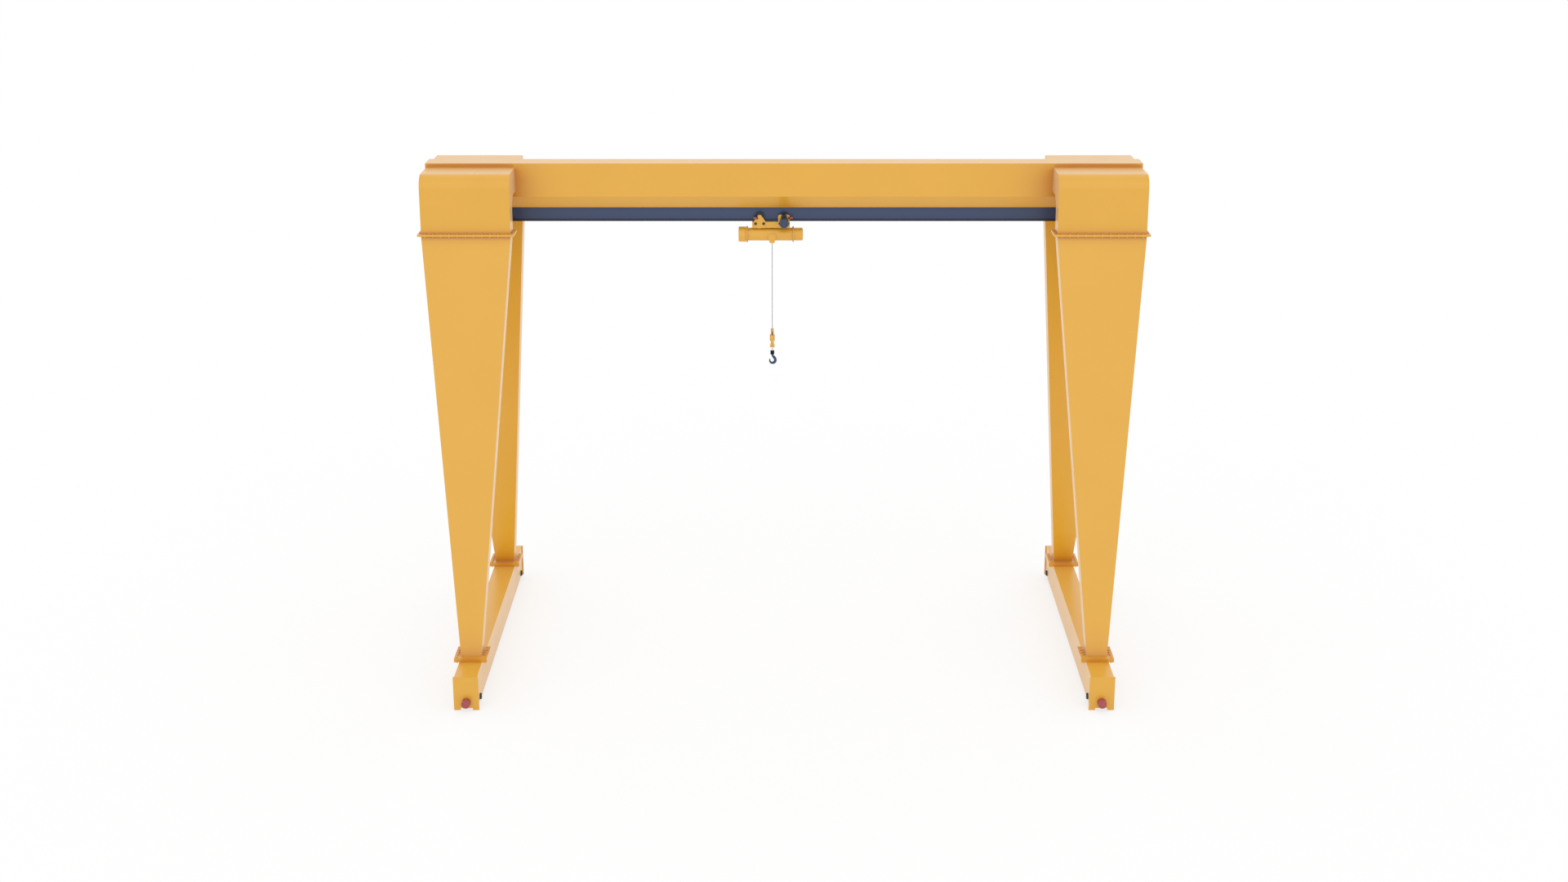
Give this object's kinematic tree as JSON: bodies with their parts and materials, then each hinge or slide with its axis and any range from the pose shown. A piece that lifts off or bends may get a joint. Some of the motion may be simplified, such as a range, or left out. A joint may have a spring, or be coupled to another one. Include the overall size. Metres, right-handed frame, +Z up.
{
  "type": "gantry crane",
  "caption": "Single-girder gantry crane: box girder on splayed tapered legs and wheeled end beams, with an under-hung wire-rope hoist, trolley and swivelling hook.",
  "frame": {"origin": "on the ground under the middle of the crane", "axes": "+X along the girder to the right, +Y along the rails away from the picture's viewer, +Z up"},
  "size_m": [13.82, 7.63, 9.83],
  "materials": {
    "yellow_paint": "satin machine enamel",
    "slate_paint": "satin machine enamel",
    "dark_steel": "blackened steel",
    "red_rubber": "moulded rubber",
    "cast_steel": "turned cast steel",
    "wire_rope": "stranded wire"
  },
  "bodies": {
    "gantry": {"girder_top_plate": "yellow_paint", "girder_web_plates": "yellow_paint", "girder_slope_plates": "yellow_paint", "girder_end_plates": "yellow_paint", "track_stops": "yellow_paint", "saddle_flanges": "yellow_paint", "leg_head_flanges": "yellow_paint", "leg_foot_flanges": "yellow_paint", "beam_seats": "yellow_paint", "end_beam_top_plates": "yellow_paint", "end_beam_side_plates": "yellow_paint", "end_beam_bottom_plates": "yellow_paint", "end_beam_end_plates": "yellow_paint", "saddle_front_left": "yellow_paint", "saddle_front_right": "yellow_paint", "saddle_rear_left": "yellow_paint", "saddle_rear_right": "yellow_paint", "leg_front_left": "yellow_paint", "leg_front_right": "yellow_paint", "leg_rear_left": "yellow_paint", "leg_rear_right": "yellow_paint", "track_beam": "slate_paint", "axle_caps": "dark_steel", "rail_buffers": "red_rubber"},
    "rail_wheel_front_left": {"rail_wheel_front_left": "cast_steel"},
    "rail_wheel_front_right": {"rail_wheel_front_right": "cast_steel"},
    "rail_wheel_rear_left": {"rail_wheel_rear_left": "cast_steel"},
    "rail_wheel_rear_right": {"rail_wheel_rear_right": "cast_steel"},
    "trolley": {"trolley_idle_plates": "yellow_paint", "trolley_drive_plates": "yellow_paint", "trolley_wheel_pins": "dark_steel", "tie_bolts": "dark_steel", "hanger_channel": "yellow_paint", "hanger_cradles": "yellow_paint", "hoist_casing": "yellow_paint", "hoist_gearbox": "yellow_paint", "hoist_motor": "yellow_paint", "rope_guide": "yellow_paint", "travel_gear_case": "slate_paint", "travel_motor": "slate_paint", "trolley_buffers": "red_rubber", "buffer_brackets": "dark_steel", "hoist_rope": "wire_rope"},
    "trolley_wheel_idle_front": {"trolley_wheel_idle_front": "cast_steel"},
    "trolley_wheel_idle_rear": {"trolley_wheel_idle_rear": "cast_steel"},
    "trolley_wheel_drive_front": {"trolley_wheel_drive_front": "cast_steel"},
    "trolley_wheel_drive_rear": {"trolley_wheel_drive_rear": "cast_steel"},
    "hook_block": {"hook_block_shell": "yellow_paint", "hook_sheave": "cast_steel", "hook_crosshead": "yellow_paint"},
    "hook": {"hook": "slate_paint"}
  },
  "joints": [
    {"name": "rail_wheel_front_left_roll", "type": "hinge", "parent": "gantry", "child": "rail_wheel_front_left", "pos_m": [-6, -3.35, 0.155], "axis": [-1, 0, 0], "continuous": true},
    {"name": "rail_wheel_front_right_roll", "type": "hinge", "parent": "gantry", "child": "rail_wheel_front_right", "pos_m": [6, -3.35, 0.155], "axis": [-1, 0, 0], "continuous": true},
    {"name": "rail_wheel_rear_left_roll", "type": "hinge", "parent": "gantry", "child": "rail_wheel_rear_left", "pos_m": [-6, 3.35, 0.155], "axis": [-1, 0, 0], "continuous": true},
    {"name": "rail_wheel_rear_right_roll", "type": "hinge", "parent": "gantry", "child": "rail_wheel_rear_right", "pos_m": [6, 3.35, 0.155], "axis": [-1, 0, 0], "continuous": true},
    {"name": "trolley_travel", "type": "slide", "parent": "gantry", "child": "trolley", "axis": [1, 0, 0], "range_m": [-5.35, 5.77]},
    {"name": "trolley_wheel_idle_front_roll", "type": "hinge", "parent": "trolley", "child": "trolley_wheel_idle_front", "pos_m": [-0.472, -0.047, 8.7663], "axis": [0, 1, 0], "continuous": true},
    {"name": "trolley_wheel_idle_rear_roll", "type": "hinge", "parent": "trolley", "child": "trolley_wheel_idle_rear", "pos_m": [-0.472, 0.047, 8.7663], "axis": [0, 1, 0], "continuous": true},
    {"name": "trolley_wheel_drive_front_roll", "type": "hinge", "parent": "trolley", "child": "trolley_wheel_drive_front", "pos_m": [0, -0.047, 8.7663], "axis": [0, 1, 0], "continuous": true},
    {"name": "trolley_wheel_drive_rear_roll", "type": "hinge", "parent": "trolley", "child": "trolley_wheel_drive_rear", "pos_m": [0, 0.047, 8.7663], "axis": [0, 1, 0], "continuous": true},
    {"name": "hook_lift", "type": "slide", "parent": "trolley", "child": "hook_block", "axis": [0, 0, 1], "range_m": [-5.5, 1.5], "deforming": ["hoist_rope"]},
    {"name": "hook_swivel", "type": "hinge", "parent": "hook_block", "child": "hook", "pos_m": [-0.23, 0, 6], "axis": [0, 0, 1], "continuous": true}
  ],
  "couplings": [
    {"joint": "trolley_wheel_idle_front_roll", "follows": "trolley_travel", "rad_per_m": 14.225},
    {"joint": "trolley_wheel_idle_rear_roll", "follows": "trolley_travel", "rad_per_m": 14.225},
    {"joint": "trolley_wheel_drive_front_roll", "follows": "trolley_travel", "rad_per_m": 14.225},
    {"joint": "trolley_wheel_drive_rear_roll", "follows": "trolley_travel", "rad_per_m": 14.225}
  ]
}
